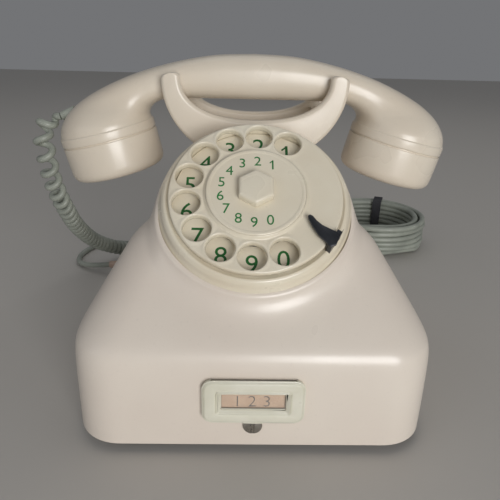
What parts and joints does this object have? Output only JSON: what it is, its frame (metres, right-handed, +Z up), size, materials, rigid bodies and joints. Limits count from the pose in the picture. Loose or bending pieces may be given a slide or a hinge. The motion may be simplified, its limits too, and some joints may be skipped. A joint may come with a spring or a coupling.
{
  "type": "rotary telephone",
  "caption": "Ivory rotary dial desk telephone with lift-off handset on a cradle fork, curly handset cord and coiled line cord.",
  "frame": {"origin": "middle of the telephone's box at table height, without its cords", "axes": "+X to the user's right, +Y to the rear, +Z up; the dial faces -Y and up"},
  "size_m": [0.3045, 0.319, 0.1631],
  "materials": {
    "ivory_moulding": "satin",
    "dial_moulding": "satin",
    "label_moulding": "gloss",
    "card": "matte",
    "celluloid": "gloss",
    "nickel_steel": "satin",
    "zinc_plate": "satin",
    "blued_steel": "satin",
    "brass": "satin",
    "gong_brass": "satin",
    "rubber": "matte",
    "coil_wrap": "satin",
    "phenolic": "satin",
    "can": "satin",
    "boot_vinyl": "satin",
    "cord_vinyl": "satin",
    "plug_moulding": "satin"
  },
  "bodies": {
    "base": {"housing": "ivory_moulding", "base_plate": "zinc_plate", "rubber_feet": "rubber", "base_screws": "nickel_steel", "housing_screw": "nickel_steel", "label_frame": "label_moulding", "label_card": "card", "label_window": "celluloid", "dial_ring": "dial_moulding", "dial_case": "zinc_plate", "number_ring": "dial_moulding", "finger_stop": "blued_steel", "dial_plate": "zinc_plate", "dial_bridge": "brass", "dial_screws": "nickel_steel", "dial_spring": "nickel_steel", "governor_drum": "brass", "pulse_contacts": "brass", "chassis_bracket": "zinc_plate", "ringer_frame": "zinc_plate", "ringer_coils": "coil_wrap", "ringer_core": "zinc_plate", "gong_left": "gong_brass", "gong_right": "gong_brass", "gong_screws": "nickel_steel", "induction_coil": "coil_wrap", "capacitor": "can", "terminal_block": "phenolic", "terminal_screws": "brass", "hook_switch_frame": "zinc_plate", "hook_contacts": "brass", "cradle_bushes": "nickel_steel", "cord_boots": "boot_vinyl", "handset_cord_coil": "cord_vinyl", "handset_cord_tail": "cord_vinyl", "line_cord_lead": "cord_vinyl", "line_cord_coil": "cord_vinyl", "line_cord_end": "cord_vinyl", "cord_tie": "rubber", "line_plug": "plug_moulding", "plug_pins": "brass"},
    "dial": {"finger_wheel": "dial_moulding", "dial_disc": "dial_moulding", "hub_nut": "dial_moulding", "dial_shaft": "nickel_steel", "main_gear": "brass"},
    "pinion": {"pinion": "brass"},
    "governor": {"governor_spindle": "nickel_steel", "governor_weights": "brass"},
    "cradle": {"cradle_fork": "ivory_moulding", "cradle_plungers": "nickel_steel"},
    "hook_lever": {"hook_lever": "zinc_plate"},
    "clapper": {"clapper": "zinc_plate"},
    "handset": {"handset_shell": "ivory_moulding", "mouthpiece_cap": "ivory_moulding", "earpiece_cap": "ivory_moulding", "microphone_capsule": "zinc_plate", "receiver_capsule": "phenolic", "capsule_springs": "brass", "handset_gland": "cord_vinyl"}
  },
  "joints": [
    {"name": "handset_lift", "type": "slide", "parent": "base", "child": "handset", "axis": [0, 0, 1], "range_m": [0, 0.06], "deforming": ["handset_cord_coil"]},
    {"name": "cradle_rise", "type": "slide", "parent": "base", "child": "cradle", "axis": [0, 0, 1], "range_m": [0, 0.006]},
    {"name": "hook_turn", "type": "hinge", "parent": "base", "child": "hook_lever", "pos_m": [0, 0.048, 0.085], "axis": [-1, 0, 0], "range_deg": [0, 15.5]},
    {"name": "dial_turn", "type": "hinge", "parent": "base", "child": "dial", "pos_m": [0, -0.0415, 0.1065], "axis": [0, 0.6626, -0.749], "range_deg": [0, 312], "stiffness_Nm_per_rad": 0.006, "springref_deg": -57.3},
    {"name": "pinion_turn", "type": "hinge", "parent": "base", "child": "pinion", "pos_m": [-0.02255, -0.03771, 0.08983], "axis": [0, 0.6626, -0.749], "range_deg": [-1260, 0]},
    {"name": "governor_turn", "type": "hinge", "parent": "base", "child": "governor", "pos_m": [-0.01407, -0.04197, 0.07938], "axis": [0, 0.6626, -0.749], "range_deg": [0, 3360]},
    {"name": "clapper_swing", "type": "hinge", "parent": "base", "child": "clapper", "pos_m": [0, -0.006, 0.028], "axis": [0, 0, 1], "range_deg": [-5, 5], "stiffness_Nm_per_rad": 0.002}
  ],
  "couplings": [
    {"joint": "cradle_rise", "follows": "handset_lift", "ratio": 0.1},
    {"joint": "hook_turn", "follows": "handset_lift", "rad_per_m": 4.5},
    {"joint": "pinion_turn", "follows": "dial_turn", "ratio": -4},
    {"joint": "governor_turn", "follows": "dial_turn", "ratio": 10.667}
  ]
}
